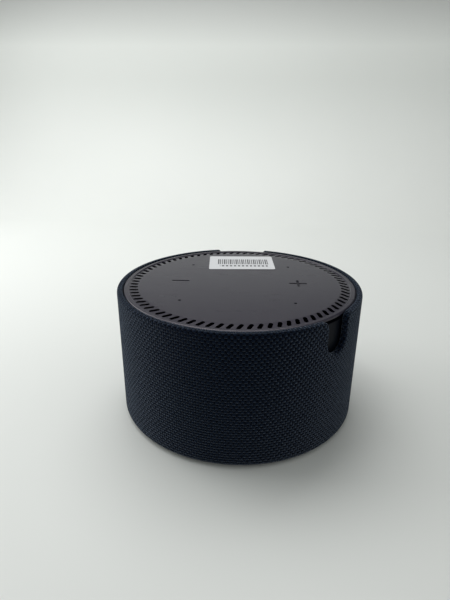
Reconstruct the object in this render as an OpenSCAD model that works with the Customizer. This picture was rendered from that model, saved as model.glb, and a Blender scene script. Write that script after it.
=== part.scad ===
// Smart speaker: a round speaker unit that drops into a fabric-covered cup.
// The origin is the middle of the foot ring's underside. +Z is up and -Y is the front.

/* [Body] */
// Outside diameter over the fabric
body_d = 100; // [96:1:130]
// Height of the fabric rim above the table
body_h = 54.3; // [54:0.1:80]
// Thickness of the fabric
fabric_t = 0.8; // [0.6:0.1:1.1]
// Rounding of the fabric at the rim
rim_round = 1.1; // [1:0.1:1.4]
// Rounding of the fabric at the bottom edge
hem_round = 2.2; // [1.2:0.1:2.6]
// How far the fabric rim stands above the lid plate
rim_rise = 0.2; // [0.2:0.1:1.2]

/* [Cup] */
// Wall of the cup under the fabric
cup_wall = 1.5; // [1.2:0.1:2.2]
// Floor of the cup
cup_floor = 1.4; // [1.2:0.1:2.4]
// Thickness of the cover under the floor
cover_t = 1.4; // [1.2:0.1:2]
// Height of the cover above the table
foot_drop = 0.8; // [0.6:0.1:2]
// Depth of the groove that holds the foot ring
foot_groove = 0.4; // [0.2:0.1:0.6]
// Width of the foot ring
foot_w = 9; // [5:0.5:11]
// Thickness of the pads that the unit stands on
pad_t = 0.6; // [0.4:0.1:1.2]
// Width of the finger notch
finger_w = 10.5; // [9:0.5:16]
// Depth of the finger notch below the rim
finger_depth = 14; // [10:0.5:18]
// Direction of the finger notch, anticlockwise from +X
finger_angle = -43.5; // [-60:0.5:-30]
// Rounding of the finger notch at the rim
finger_flare = 3; // [1.5:0.5:4]
// Width of the cable notch at the back
cable_w = 22.2; // [20:0.2:30]
// Depth of the cable notch below the rim
cable_depth = 13.5; // [12:0.5:18]
// Rounding of the cable notch at the rim and the bottom
cable_round = 1.4; // [1:0.1:3]

/* [Lid plate] */
// Thickness of the lid plate
plate_t = 2.2; // [2:0.1:3.2]
// Gap between the lid plate and the cup
plate_gap = 0.3; // [0.3:0.05:0.6]
// Number of slots in the ring
slot_count = 80; // [48:4:84]
// Distance from the plate's edge to the middle of the slots
slot_inset = 4.1; // [3.8:0.1:6]
// Length of a slot
slot_l = 3.8; // [3:0.1:4.4]
// Width of a slot
slot_w = 1.5; // [0.8:0.1:1.7]
// Slant of the slots from the radial line
slot_slant = 28; // [0:1:35]
// Fall of the plate from the inner to the outer ends of the slots
slot_fall = 0.35; // [0:0.05:0.6]
// Radius of the circle of microphones
mic_ring_r = 30.8; // [28:0.1:31]
// Radius of the hole over a microphone
mic_hole_r = 0.6; // [0.4:0.05:0.8]
// Distance from the centre to each touch mark
mark_x = 24.5; // [20:0.5:25]
// Length of a touch mark's bar
mark_l = 7.5; // [5:0.5:9]
// Width of a touch mark's bar
mark_w = 1; // [0.6:0.1:1.4]
// Depth of the touch marks
mark_deep = 0.4; // [0.2:0.1:0.6]
// Length of the sticker
label_l = 30; // [20:1:34]
// Width of the sticker
label_w = 20; // [12:1:22]
// Thickness of the sticker
label_t = 0.15; // [0.1:0.05:0.2]
// Distance from the centre to the middle of the sticker
label_y = 26.8; // [22:0.1:28]
// Turn of the sticker, anticlockwise
label_turn = 3.5; // [-6:0.5:6]

/* [Speaker unit] */
// Wall of the unit's two shells
shell_t = 1.2; // [1:0.1:1.8]
// Gap between the shells and the cup
shell_gap = 0.6; // [0.4:0.1:1]
// Height of the upper shell
upper_shell_h = 17.9; // [16:0.1:22]
// Thickness of the unit's base
base_t = 2; // [1.8:0.1:3]
// Height of the sound space between the base and the baffle
sound_gap = 9.8; // [9:0.1:12]
// Height of the slots in the lower shell
vent_h = 5.6; // [4:0.1:6.4]
// Width of a slot in the lower shell
vent_w = 2.2; // [1.5:0.1:3]
// Thickness of the baffle
baffle_t = 2; // [1.8:0.1:3]
// Outer radius of the closed box behind the driver
box_r = 34.6; // [30:0.1:34.8]
// Wall of the closed box
box_wall = 1.6; // [1.2:0.1:2.4]
// Thickness of the gasket under the box
gasket_t = 0.6; // [0.4:0.1:1]

/* [Boards and sockets] */
// Thickness of the main board
board_t = 1.2; // [0.8:0.1:1.6]
// Depth from the lid plate down to the main board
board_depth = 7.5; // [7.4:0.1:10]
// Thickness of the touch board
touch_board_t = 1; // [0.8:0.1:1.2]
// Gap between the touch board and the lid plate
touch_gap = 0.9; // [0.8:0.1:1.4]
// Radius of the audio jack's bore
jack_r = 1.8; // [1.75:0.05:1.85]
// Depth of the audio jack's bore
jack_deep = 13.2; // [12:0.1:14]
// Width of the power socket
socket_w = 8.4; // [7:0.1:8.6]
// Height of the power socket
socket_h = 3.2; // [2.6:0.1:3.6]
// Radius of the mute button
button_r = 1.6; // [1.2:0.1:1.8]
// How far the mute button stands out of the panel
button_out = 0.5; // [0.3:0.1:1]

/* [Driver] */
// Outer radius of the driver's flange
driver_r = 26.5; // [25:0.5:29]
// Outer radius of the driver's basket
basket_r = 21.8; // [20.8:0.1:22.4]
// Depth of the driver's basket behind the baffle's face
basket_h = 9.2; // [8.6:0.1:11]
// Radius of the paper cone
cone_r = 16.2; // [14:0.1:16.8]
// Radius of the pole inside the voice coil
pole_r = 6; // [5:0.1:7]
// Clearance on each side of the voice coil
coil_gap = 0.35; // [0.3:0.05:0.5]
// Thickness of the front washer
washer_t = 2.5; // [2:0.1:3]
// Thickness of the magnet
magnet_t = 6; // [5:0.1:7]
// Outer radius of the magnet
magnet_r = 16; // [13:0.1:16.2]
// Thickness of the yoke's back plate
yoke_t = 2.5; // [2:0.1:3]

/* [Hidden] */
$fn = 96;
cut = 1;
close_gap = 0.2;

// Radii, from the outside in
body_r = body_d / 2;
cup_out_r = body_r - fabric_t;
cup_in_r = cup_out_r - cup_wall;
plate_r = cup_in_r - plate_gap;
shell_out_r = cup_in_r - shell_gap;
shell_in_r = shell_out_r - shell_t;
hem_in_r = cup_in_r - 0.7;
cover_r = hem_in_r - close_gap;

// Heights, from the table up
cover_top_z = foot_drop + cover_t;
floor_top_z = cover_top_z + cup_floor;
unit_low_z = floor_top_z + pad_t;
base_top_z = unit_low_z + base_t;
baffle_low_z = base_top_z + sound_gap;
baffle_top_z = baffle_low_z + baffle_t;

// Heights, from the rim down
plate_top_z = body_h - rim_rise;
plate_low_z = plate_top_z - plate_t;
touch_top_z = plate_low_z - touch_gap;
touch_low_z = touch_top_z - touch_board_t;
board_top_z = plate_low_z - board_depth;
board_low_z = board_top_z - board_t;
seam_z = plate_low_z - upper_shell_h;
port_z = board_top_z + 2.5;

// Slot ring and what hangs inside it
slot_mid_r = plate_r - slot_inset;
slot_reach = ((slot_l - slot_w) * cos(slot_slant) + slot_w) / 2;
fall_in_r = slot_mid_r - slot_reach - 0.3;
fall_out_r = slot_mid_r + slot_reach + 0.2;
mesh_t = 0.4;
mesh_in_r = slot_mid_r - slot_reach - 0.8;
mesh_out_r = slot_mid_r + slot_reach + 0.3;
mark_clear = plate_t - 1;

// Screws and the posts that they go into
screw_r = 0.8;
head_r = 1.6;
head_h = 1.2;
post_r = 2;
main_screw_r = mesh_in_r - head_r - 0.1;
main_screw_angles = [45, 135, 225, 315];
post_top_z = plate_low_z - 1.5;
touch_board_r = main_screw_r - post_r - 0.4;
touch_screw_r = touch_board_r - 3;
touch_screw_angles = [20, 160, 200, 340];
case_post_r = 2.4;
case_screw_r = shell_in_r - 3.3;
case_screw_angles = [45, 135, 225, 315];
case_post_top_z = board_low_z - 1.7;
base_screw_angles = [45, 135, 225, 315];

// Foot ring and base screws
foot_out_r = cover_r - 3.8;
foot_in_r = foot_out_r - foot_w;
base_screw_r = foot_in_r - 7;

// Ports at the back
port_half = cable_w / 2 - 0.2;
port_low_z = board_low_z + 0.3;
port_high_z = plate_low_z - 1.4;
panel_t = 2;
panel_lip_t = 1.2;
panel_y = sqrt(shell_out_r * shell_out_r - port_half * port_half) - 0.15;
panel_back_y = panel_y - panel_t;
panel_lip_y = panel_back_y - panel_lip_t;
board_r = panel_lip_y - 0.4;
socket_x = -1.2 - socket_w / 2;
jack_x = 2.6;
jack_barrel_r = jack_r + 0.8;
button_x = jack_x + jack_barrel_r + 3;
button_gap = 0.3;
button_travel = 0.5;
switch_y = panel_lip_y - 1.8;

// Driver, from its face up
flange_t = 1.6;
basket_wall = 1.4;
flange_low_z = baffle_low_z - flange_t;
basket_in_r = basket_r - basket_wall;
basket_top_z = baffle_low_z + basket_h;
basket_plate_t = 1.2;
washer_top_z = basket_top_z + washer_t;
magnet_top_z = washer_top_z + magnet_t;
yoke_top_z = magnet_top_z + yoke_t;
former_t = 0.25;
former_in_r = pole_r + coil_gap;
former_r = former_in_r + former_t;
winding_r = former_r + 0.35;
washer_hole_r = winding_r + coil_gap;
cone_t = 0.4;
cone_neck_z = flange_low_z + 4.2;
cone_edge_z = flange_low_z - cone_t;
winding_over = 1;
soft_gap = 0.3;
spider_z = cone_neck_z + 2.2;
spider_r = 17;
driver_screw_r = driver_r - 2.3;
box_in_r = box_r - box_wall;
box_low_z = baffle_top_z + gasket_t;
box_lip_r = box_r + 3.8;
box_lip_t = 1.5;
box_screw_r = box_r + 1.9;
box_top_z = board_low_z - 3.2;
terminal_x = magnet_r + 2.8;
lead_r = 0.6;
lead_y = 1.2;
lead_top_z = board_low_z - 2;

// Points along an arc, for outlines
function arc(x, y, r, from, to, steps = 8) =
    [for (i = [0 : steps]) let (a = from + (to - from) * i / steps) [x + r * cos(a), y + r * sin(a)]];

// Outline of a rectangle with round corners, centred on the origin
function round_box(l, w, r) = concat(
    arc(l / 2 - r, w / 2 - r, r, 0, 90),
    arc(r - l / 2, w / 2 - r, r, 90, 180),
    arc(r - l / 2, r - w / 2, r, 180, 270),
    arc(l / 2 - r, r - w / 2, r, 270, 360));

// Solid of revolution about the vertical axis
module turned(points) {
    rotate_extrude() polygon(points);
}

// Ring with a square section
module ring(r_out, r_in, z_low, z_high) {
    difference() {
        translate([0, 0, z_low]) cylinder(r = r_out, h = z_high - z_low);
        translate([0, 0, z_low - cut]) cylinder(r = r_in, h = z_high - z_low + 2 * cut);
    }
}

// Upright rod between two heights
module rod(r, z_low, z_high) {
    translate([0, 0, z_low]) cylinder(r = r, h = z_high - z_low);
}

// Box given by its limits along each axis
module block(x, y, z) {
    translate([x[0], y[0], z[0]]) cube([x[1] - x[0], y[1] - y[0], z[1] - z[0]]);
}

// Copies of a piece round the vertical axis
module around(angles, r) {
    for (a = angles) rotate(a) translate([r, 0, 0]) children();
}

// Rod that lies along Y
module level_rod(x, z, r, y_low, y_high) {
    translate([x, y_high, z]) rotate([90, 0, 0]) cylinder(r = r, h = y_high - y_low);
}

// Bar with round ends that lies along Y
module level_bar(x, z, w, h, y_low, y_high) {
    translate([x, y_high, z]) rotate([90, 0, 0]) linear_extrude(y_high - y_low)
        polygon(concat(
            arc(w / 2 - h / 2, 0, h / 2, -90, 90, 16),
            arc(h / 2 - w / 2, 0, h / 2, 90, 270, 16)));
}

// Screw with its head below, pointing up
module screw_up(shank_r, cap_r, head_low_z, seat_z, tip_z) {
    rod(cap_r, head_low_z, seat_z);
    rod(shank_r, seat_z, tip_z);
}

// Cutter for an open notch in the rim; grow leaves room for the fabric round its edge
module notch(angle, w, depth, corner, flare, grow) {
    half = w / 2 + grow;
    low = body_h - depth - grow;
    bend = corner + grow;
    lip = flare - grow;
    rotate(angle - 90) translate([0, body_r + 4, 0]) rotate([90, 0, 0]) linear_extrude(12)
        polygon(concat(
            [[-w / 2 - flare, body_h + 4]],
            arc(-w / 2 - flare, body_h - flare, lip, 90, 0),
            arc(bend - half, low + bend, bend, 180, 270, 16),
            arc(half - bend, low + bend, bend, 270, 360, 16),
            arc(w / 2 + flare, body_h - flare, lip, 180, 90),
            [[w / 2 + flare, body_h + 4]]));
}

module notches(grow) {
    notch(finger_angle, finger_w, finger_depth, finger_w / 2, finger_flare, grow);
    notch(90, cable_w, cable_depth, cable_round, cable_round, grow);
}

// Wall of the cup, from a given inner radius
module cup_wall_ring(r_in) {
    round_low = hem_round - fabric_t;
    round_top = rim_round - fabric_t;
    low = foot_drop + fabric_t;
    top = body_h - fabric_t;
    difference() {
        turned(concat(
            [[r_in, low]],
            arc(cup_out_r - round_low, low + round_low, round_low, -90, 0),
            arc(cup_out_r - round_top, top - round_top, round_top, 0, 90, 4),
            [[r_in, top]]));
        notches(fabric_t);
    }
}

// Woven cover stretched over the cup, over its rim, round its notches and under its hem
module fabric_skin() {
    color("#1d2531") difference() {
        turned(concat(
            [[hem_in_r, foot_drop]],
            arc(body_r - hem_round, foot_drop + hem_round, hem_round, -90, 0),
            arc(body_r - rim_round, body_h - rim_round, rim_round, 0, 90),
            arc(cup_in_r + 0.3, body_h - 0.3, 0.3, 90, 180, 4),
            [[cup_in_r, foot_drop + fabric_t], [hem_in_r, foot_drop + fabric_t]]));
        cup_wall_ring(cup_in_r - cut);
        notches(0);
    }
}

module cup_frame() {
    window_z = [unit_low_z + 3, baffle_low_z - 0.6];
    color("#3a3c40") difference() {
        union() {
            cup_wall_ring(cup_in_r);
            rod(cup_in_r + 0.4, cover_top_z, floor_top_z);
        }
        for (side = [0 : 90 : 270], step = [-2.5 : 1 : 2.5]) {
            rotate(side + 12 * step) block([cup_in_r - 0.1, cup_out_r + cut], [-3.6, 3.6], window_z);
        }
        around(base_screw_angles, base_screw_r) rod(1.1, cover_top_z - cut, cover_top_z + 1);
    }
}

module base_cover() {
    color("#26282b") difference() {
        rod(cover_r, foot_drop, cover_top_z);
        ring(foot_out_r, foot_in_r, foot_drop - cut, foot_drop + foot_groove);
        around(base_screw_angles, base_screw_r) {
            rod(1.3, foot_drop - cut, cover_top_z + cut);
            rod(2.3, foot_drop - cut, foot_drop + 0.8);
        }
    }
}

module foot_ring() {
    color("#15161a") ring(foot_out_r, foot_in_r, 0, foot_drop + foot_groove);
}

module base_screws() {
    color("silver") around(base_screw_angles, base_screw_r)
        screw_up(1.1, 2.1, foot_drop + 0.1, foot_drop + 0.8, cover_top_z + 1);
}

module rest_pads() {
    color("#2c2d30") around([0, 90, 180, 270], case_screw_r - 6) rod(4, floor_top_z, unit_low_z);
}

// Lid plate with its slots, microphone holes, touch marks and screw bosses
module top_plate() {
    edge = 0.4;
    color("#5a585e") difference() {
        union() {
            turned(concat(
                [[0, plate_low_z], [plate_r, plate_low_z]],
                arc(plate_r - edge, plate_top_z - edge, edge, 0, 90),
                [[fall_out_r + 0.3, plate_top_z], [fall_out_r, plate_top_z - slot_fall],
                    [fall_in_r, plate_top_z], [0, plate_top_z]]));
            around(main_screw_angles, main_screw_r) rod(head_r, post_top_z, plate_low_z + 0.5);
            around(touch_screw_angles, touch_screw_r) rod(post_r, touch_top_z, plate_low_z + 0.5);
        }
        for (i = [0 : slot_count - 1]) rotate((i + 0.5) * 360 / slot_count) slot_cut();
        around([45, 135, 225, 315], mic_ring_r) rod(mic_hole_r, plate_low_z - cut, plate_top_z + cut);
        around(main_screw_angles, main_screw_r) rod(screw_r, post_top_z - cut, plate_low_z + mark_clear);
        around(touch_screw_angles, touch_screw_r) rod(screw_r, touch_top_z - cut, plate_low_z + mark_clear);
        mark_cut(-mark_x, mark_l, mark_w);
        mark_cut(mark_x, mark_l, mark_w);
        mark_cut(mark_x, mark_w, mark_l);
    }
}

module slot_cut() {
    half = (slot_l - slot_w) / 2;
    translate([slot_mid_r, 0, plate_low_z - cut]) rotate(-slot_slant) linear_extrude(plate_t + 2 * cut)
        polygon(concat(
            arc(half, 0, slot_w / 2, -90, 90),
            arc(-half, 0, slot_w / 2, 90, 270)));
}

module mark_cut(x, l, w) {
    block([x - l / 2, x + l / 2], [-w / 2, w / 2], [plate_top_z - mark_deep, plate_top_z + cut]);
}

// Sticker on the lid, set down slightly askew
module sticker_label() {
    color("white") translate([0.3, label_y, plate_top_z]) rotate(label_turn) linear_extrude(label_t)
        polygon(round_box(label_l, label_w, 1));
}

module slot_mesh() {
    color("#0c0c0e") ring(mesh_out_r, mesh_in_r, plate_low_z - mesh_t, plate_low_z);
}

module touch_board() {
    color("#1f4d3a") difference() {
        rod(touch_board_r, touch_low_z, touch_top_z);
        around(touch_screw_angles, touch_screw_r) rod(screw_r + 0.2, touch_low_z - cut, touch_top_z + cut);
        around([45, 135, 225, 315], mic_ring_r) rod(0.5, touch_low_z - cut, touch_top_z + cut);
    }
}

module touch_pads() {
    color("#3f4247") around([0, 180], mark_x) rod(6, touch_top_z, plate_low_z);
}

module microphones() {
    color("#c8b27a") around([45, 135, 225, 315], mic_ring_r)
        block([-1.9, 1.9], [-1.5, 1.5], [touch_low_z - 1, touch_low_z]);
}

module mic_gaskets() {
    color("#17181b") around([45, 135, 225, 315], mic_ring_r) ring(2.4, mic_hole_r, touch_top_z, plate_low_z);
}

module status_leds() {
    led_r = touch_board_r - 1.2;
    color("#f2f2e8") around([15 : 30 : 345], led_r)
        block([-0.6, 0.6], [-1, 1], [touch_top_z, touch_top_z + 0.7]);
}

module touch_board_screws() {
    color("silver") around(touch_screw_angles, touch_screw_r)
        screw_up(screw_r, head_r, touch_low_z - 1, touch_low_z, plate_low_z + mark_clear);
}

// Smooth upper shell, with posts for the boards, bosses for the case screws and the port window
module upper_shell() {
    color("#1a1b1e") difference() {
        union() {
            ring(shell_out_r, shell_in_r, seam_z, plate_low_z);
            around(main_screw_angles, main_screw_r) {
                rod(post_r, board_top_z, post_top_z);
                block([0, shell_in_r - main_screw_r + 0.4], [-1, 1], [board_top_z, post_top_z - 0.8]);
            }
            around(case_screw_angles, case_screw_r) {
                rod(case_post_r, seam_z, case_post_top_z);
                block([0, shell_in_r - case_screw_r + 0.4], [-1, 1], [seam_z, case_post_top_z]);
            }
            intersection() {
                block([-port_half - 2, port_half + 2], [panel_back_y, shell_out_r], [port_low_z - 1, port_high_z + 1]);
                rod(shell_in_r + 0.4, port_low_z - cut, port_high_z + cut);
            }
        }
        block([-port_half, port_half], [panel_back_y - cut, shell_out_r + cut], [port_low_z, port_high_z]);
        around(main_screw_angles, main_screw_r) rod(screw_r + 0.2, board_top_z - cut, post_top_z + cut);
        around(case_screw_angles, case_screw_r) rod(0.9, seam_z - cut, case_post_top_z - 0.5);
    }
}

module port_panel() {
    face_x = port_half - close_gap;
    color("#232427") difference() {
        union() {
            block([-face_x, face_x], [panel_back_y - 0.2, panel_y], [port_low_z + close_gap, port_high_z - close_gap]);
            block([-face_x - 1.6, face_x + 1.6], [panel_lip_y, panel_back_y], [port_low_z - 0.5, port_high_z + 0.5]);
        }
        level_bar(socket_x, port_z, socket_w + 0.4, socket_h + 0.4, panel_lip_y - cut, panel_y + cut);
        level_rod(jack_x, port_z, jack_barrel_r + close_gap, panel_lip_y - cut, panel_y + cut);
        level_rod(button_x, port_z, button_r + button_gap, panel_lip_y - cut, panel_y + cut);
    }
}

module power_socket() {
    back_y = panel_lip_y - 5;
    color("#b9bcc0") difference() {
        union() {
            block([socket_x - socket_w / 2, socket_x + socket_w / 2], [back_y, panel_lip_y - 1], [board_top_z, port_z + socket_h / 2]);
            level_bar(socket_x, port_z, socket_w, socket_h, back_y, panel_y - 0.2);
        }
        level_bar(socket_x, port_z, socket_w - 0.8, socket_h - 0.8, back_y + 1.2, panel_y + cut);
    }
}

module socket_tongue() {
    color("#111214") block([socket_x - socket_w / 2 + 1.2, socket_x + socket_w / 2 - 1.2],
        [panel_lip_y - 3.8, panel_y - 1.2], [port_z - 0.35, port_z + 0.35]);
}

module audio_jack() {
    color("#2a2b2e") difference() {
        union() {
            block([jack_x - 3, jack_x + 3], [panel_y - jack_deep - 1, panel_lip_y - close_gap], [board_top_z, port_z + 2.5]);
            level_rod(jack_x, port_z, jack_barrel_r, panel_lip_y - close_gap - 0.1, panel_y);
        }
        level_rod(jack_x, port_z, jack_r, panel_y - jack_deep, panel_y + cut);
    }
}

module mute_switch() {
    color("#4a4c50") block([button_x - 2.2, button_x + 2.2], [switch_y - 4, switch_y], [board_top_z, port_z + 2.2]);
}

// Mute button: a rod through the panel with a collar behind it
module mute_button() {
    back_y = switch_y + button_travel + 0.1;
    color("#d8d9dc") {
        level_rod(button_x, port_z, button_r, back_y, panel_y + button_out);
        level_rod(button_x, port_z, button_r + 0.6, back_y, back_y + 0.6);
    }
}

module main_board() {
    color("#1f4d3a") difference() {
        rod(board_r, board_low_z, board_top_z);
        around(main_screw_angles, main_screw_r) rod(screw_r + 0.2, board_low_z - cut, board_top_z + cut);
    }
}

module processor_shield() {
    color("#c0c2c5") block([-22, 0], [-14, 6], [board_top_z, board_top_z + 2.5]);
}

module radio_antenna() {
    color("#cfa64a") block([-6, 6], [3 - board_r, 6 - board_r], [board_top_z, board_top_z + 1.2]);
}

module amplifier_chip() {
    color("#1c1c1f") block([8, 16], [-16, -8], [board_top_z, board_top_z + 1.2]);
}

module power_coils() {
    color("#54504a") for (x = [9, 17]) translate([x, 14, 0]) rod(3, board_top_z, board_top_z + 3.4);
}

module smoothing_capacitors() {
    color("#2d3f73") for (x = [-21, -15, -9]) translate([x, 16, 0]) rod(2.4, board_top_z, board_top_z + 4);
}

// Plugs for the ribbon cable, above and below it, and the plug for the driver's leads
module board_connectors() {
    color("#e4ddc8") {
        block([25, 28], [-5, 5], [board_top_z, board_top_z + 1.6]);
        block([25, 28], [-5, 5], [touch_low_z - 1.4, touch_low_z]);
        block([terminal_x - 2.2, terminal_x + 2.2], [-3, 3], [lead_top_z, board_low_z]);
    }
}

module ribbon_cable() {
    color("#8f9398") block([26.35, 26.65], [-4, 4], [board_top_z + 1.6, touch_low_z - 1.4]);
}

module main_board_screws() {
    color("silver") around(main_screw_angles, main_screw_r)
        screw_up(screw_r, head_r, board_low_z - head_h, board_low_z, plate_low_z + mark_clear);
}

// Lower shell, with sound slots, a ledge for the baffle and posts for the case screws
module lower_shell() {
    vent_low_z = base_top_z + 2.2;
    color("#1a1b1e") difference() {
        union() {
            ring(shell_out_r, shell_in_r, base_top_z, seam_z);
            ring(shell_in_r + 0.4, shell_in_r - 1.2, baffle_low_z - 1.4, baffle_low_z);
            around(case_screw_angles, case_screw_r) {
                rod(case_post_r, base_top_z, seam_z);
                block([0, shell_in_r - case_screw_r + 0.4], [-1, 1], [base_top_z, seam_z]);
            }
        }
        for (side = [0 : 90 : 270], step = [-5.5 : 1 : 5.5]) {
            rotate(side + 6 * step)
                block([shell_in_r - 0.6, shell_out_r + cut], [-vent_w / 2, vent_w / 2], [vent_low_z, vent_low_z + vent_h]);
        }
        around(case_screw_angles, case_screw_r) rod(1.2, base_top_z - cut, seam_z + cut);
    }
}

module unit_base() {
    edge = 0.6;
    color("#1a1b1e") difference() {
        union() {
            turned(concat(
                [[0, unit_low_z]],
                arc(shell_out_r - edge, unit_low_z + edge, edge, -90, 0),
                [[shell_out_r, base_top_z], [0, base_top_z]]));
            difference() {
                ring(shell_in_r - close_gap, shell_in_r - 1.6, base_top_z - 0.2, base_top_z + 1.5);
                around(case_screw_angles, case_screw_r) block([-4, 4], [-3, 3], [base_top_z, base_top_z + 2]);
            }
        }
        around(case_screw_angles, case_screw_r) {
            rod(1.2, unit_low_z - cut, base_top_z + cut);
            rod(2, unit_low_z - cut, unit_low_z + 1.2);
        }
    }
}

module case_screws() {
    color("silver") around(case_screw_angles, case_screw_r)
        screw_up(0.9, 1.8, unit_low_z + 0.2, unit_low_z + 1.2, case_post_top_z - 0.5);
}

// Low dome that turns the driver's sound outwards
module sound_deflector() {
    dome_r = 20;
    dome_h = 4.4;
    color("#26282b") turned(concat(
        [[0, base_top_z]],
        [for (i = [0 : 12]) let (r = dome_r * (1 - i / 12)) [r, base_top_z + 0.4 + dome_h * (1 + cos(180 * r / dome_r)) / 2]]));
}

module baffle_plate() {
    color("#303236") difference() {
        rod(shell_in_r - close_gap, baffle_low_z, baffle_top_z);
        rod(basket_r + 0.4, baffle_low_z - cut, baffle_top_z + cut);
        around(case_screw_angles, case_screw_r) {
            rod(case_post_r + 0.3, baffle_low_z - cut, baffle_top_z + cut);
            block([0, 6], [-1.3, 1.3], [baffle_low_z - cut, baffle_top_z + cut]);
        }
        around([45, 135, 225, 315], driver_screw_r) rod(0.9, baffle_low_z - cut, baffle_top_z - 0.4);
        around([0 : 60 : 300], box_screw_r) rod(0.9, baffle_low_z + 0.4, baffle_top_z + cut);
    }
}

module back_box() {
    color("#303236") difference() {
        union() {
            rod(box_r, box_low_z, box_top_z);
            rod(box_lip_r, box_low_z, box_low_z + box_lip_t);
        }
        rod(box_in_r, box_low_z - cut, box_top_z - box_wall);
        around([0 : 60 : 300], box_screw_r) rod(1.1, box_low_z - cut, box_low_z + box_lip_t + cut);
        translate([terminal_x, 0, 0]) rod(2.8, box_top_z - box_wall - cut, box_top_z + cut);
    }
}

module box_gasket() {
    color("#17181b") difference() {
        ring(box_lip_r, box_in_r, baffle_top_z, box_low_z);
        around([0 : 60 : 300], box_screw_r) rod(1.1, baffle_top_z - cut, box_low_z + cut);
    }
}

module box_screws() {
    color("silver") around([0 : 60 : 300], box_screw_r) {
        rod(head_r, box_low_z + box_lip_t, box_low_z + box_lip_t + head_h);
        rod(0.9, baffle_low_z + 0.4, box_low_z + box_lip_t);
    }
}

// Pressed basket: flange, open wall, ledge for the spider and back ring
module driver_basket() {
    color("#55585c") difference() {
        union() {
            ring(driver_r, basket_in_r, flange_low_z, baffle_low_z);
            ring(basket_r, basket_in_r, baffle_low_z - 0.2, basket_top_z);
            ring(basket_r - 0.2, spider_r, spider_z, spider_z + 0.8);
            ring(basket_r - 0.2, pole_r + 4, basket_top_z - basket_plate_t, basket_top_z);
        }
        around([30 : 60 : 330], basket_in_r - 0.6) block([0, 3], [-5, 5], [baffle_top_z + 0.4, basket_top_z - 1.8]);
        around([45, 135, 225, 315], driver_screw_r) rod(1.1, flange_low_z - cut, baffle_low_z + cut);
    }
}

module driver_washer() {
    color("#8c8f93") ring(magnet_r - 2, washer_hole_r, basket_top_z, washer_top_z);
}

module driver_magnet() {
    color("#2b2b2d") ring(magnet_r, pole_r + 3, washer_top_z, magnet_top_z);
}

module driver_yoke() {
    color("#8c8f93") {
        rod(magnet_r - 2, magnet_top_z, yoke_top_z);
        rod(pole_r, basket_top_z, magnet_top_z + 0.2);
    }
}

// Rubber half roll between the cone and the flange
module driver_surround() {
    roll_in_r = cone_r + soft_gap;
    roll_out_r = basket_in_r - 0.4;
    mid = (roll_in_r + roll_out_r) / 2;
    big = (roll_out_r - roll_in_r) / 2;
    z = flange_low_z - 0.2;
    color("#101113") turned(concat(
        [[roll_in_r, flange_low_z]],
        arc(mid, z, big, 180, 350, 12),
        [[basket_r + 0.8, z + big * sin(350)], [basket_r + 0.8, flange_low_z], [roll_out_r - 0.4, flange_low_z]],
        arc(mid, z, big - 0.4, 360, 180, 12),
        [[roll_in_r + 0.4, flange_low_z]]));
}

// Ribbed cloth disc that centres the voice coil
module driver_spider() {
    in_r = former_r + soft_gap;
    waves = 5;
    steps = 6 * waves;
    color("#a98a4e") turned(concat(
        [for (i = [0 : steps]) let (t = i / steps) [in_r + (spider_r - in_r) * t, spider_z - 0.7 + 0.25 * sin(360 * waves * t)]],
        [[spider_r + 1.6, spider_z - 0.7], [spider_r + 1.6, spider_z], [spider_r, spider_z]],
        [for (i = [steps : -1 : 0]) let (t = i / steps) [in_r + (spider_r - in_r) * t, spider_z - 0.4 + 0.25 * sin(360 * waves * t)]]));
}

module driver_terminal() {
    color("#b98f4a") block([terminal_x - 2, terminal_x + 2], [-2.5, 2.5], [basket_top_z, basket_top_z + 2]);
}

module driver_leads() {
    color("#8a1f1f") for (y = [-lead_y, lead_y]) translate([terminal_x, y, 0]) rod(lead_r, basket_top_z + 2, lead_top_z);
}

module lead_grommet() {
    color("#17181b") translate([terminal_x, 0, 0]) difference() {
        union() {
            rod(2.8, box_top_z - box_wall, box_top_z);
            rod(3.6, box_top_z, box_top_z + 0.6);
        }
        for (y = [-lead_y, lead_y]) translate([0, y, 0]) rod(lead_r, box_top_z - box_wall - cut, box_top_z + 2);
    }
}

module driver_screws() {
    color("silver") around([45, 135, 225, 315], driver_screw_r)
        screw_up(0.9, head_r, flange_low_z - head_h, flange_low_z, baffle_top_z - 0.4);
}

module driver_cone() {
    color("#222326") turned([[former_r, cone_neck_z], [cone_r, cone_edge_z], [cone_r, cone_edge_z + cone_t], [former_r, cone_neck_z + cone_t]]);
}

// Shallow dome under the neck of the cone
module dust_cap() {
    sag = 2.2;
    wall = 0.3;
    r = (former_r * former_r + sag * sag) / (2 * sag);
    drop = r - sag;
    color("#141416") turned(concat(
        arc(0, cone_neck_z + drop, r, -90, -asin(drop / r), 10),
        arc(0, cone_neck_z + drop, r - wall, -asin(drop / (r - wall)), -90, 10)));
}

module voice_coil() {
    winding_z = [basket_top_z - winding_over, washer_top_z + winding_over];
    color("#b06a38") {
        ring(former_r, former_in_r, cone_neck_z, winding_z[1]);
        ring(winding_r, former_r - 0.05, winding_z[0], winding_z[1]);
    }
}

fabric_skin();
cup_frame();
base_cover();
foot_ring();
base_screws();
rest_pads();
top_plate();
sticker_label();
slot_mesh();
touch_board();
touch_pads();
microphones();
mic_gaskets();
status_leds();
touch_board_screws();
upper_shell();
port_panel();
power_socket();
socket_tongue();
audio_jack();
mute_switch();
main_board();
processor_shield();
radio_antenna();
amplifier_chip();
power_coils();
smoothing_capacitors();
board_connectors();
ribbon_cable();
main_board_screws();
lower_shell();
unit_base();
case_screws();
sound_deflector();
baffle_plate();
back_box();
box_gasket();
box_screws();
driver_basket();
driver_washer();
driver_magnet();
driver_yoke();
driver_surround();
driver_spider();
driver_terminal();
driver_leads();
lead_grommet();
driver_screws();
driver_cone();
dust_cap();
voice_coil();
mute_button();
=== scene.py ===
import math

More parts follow.
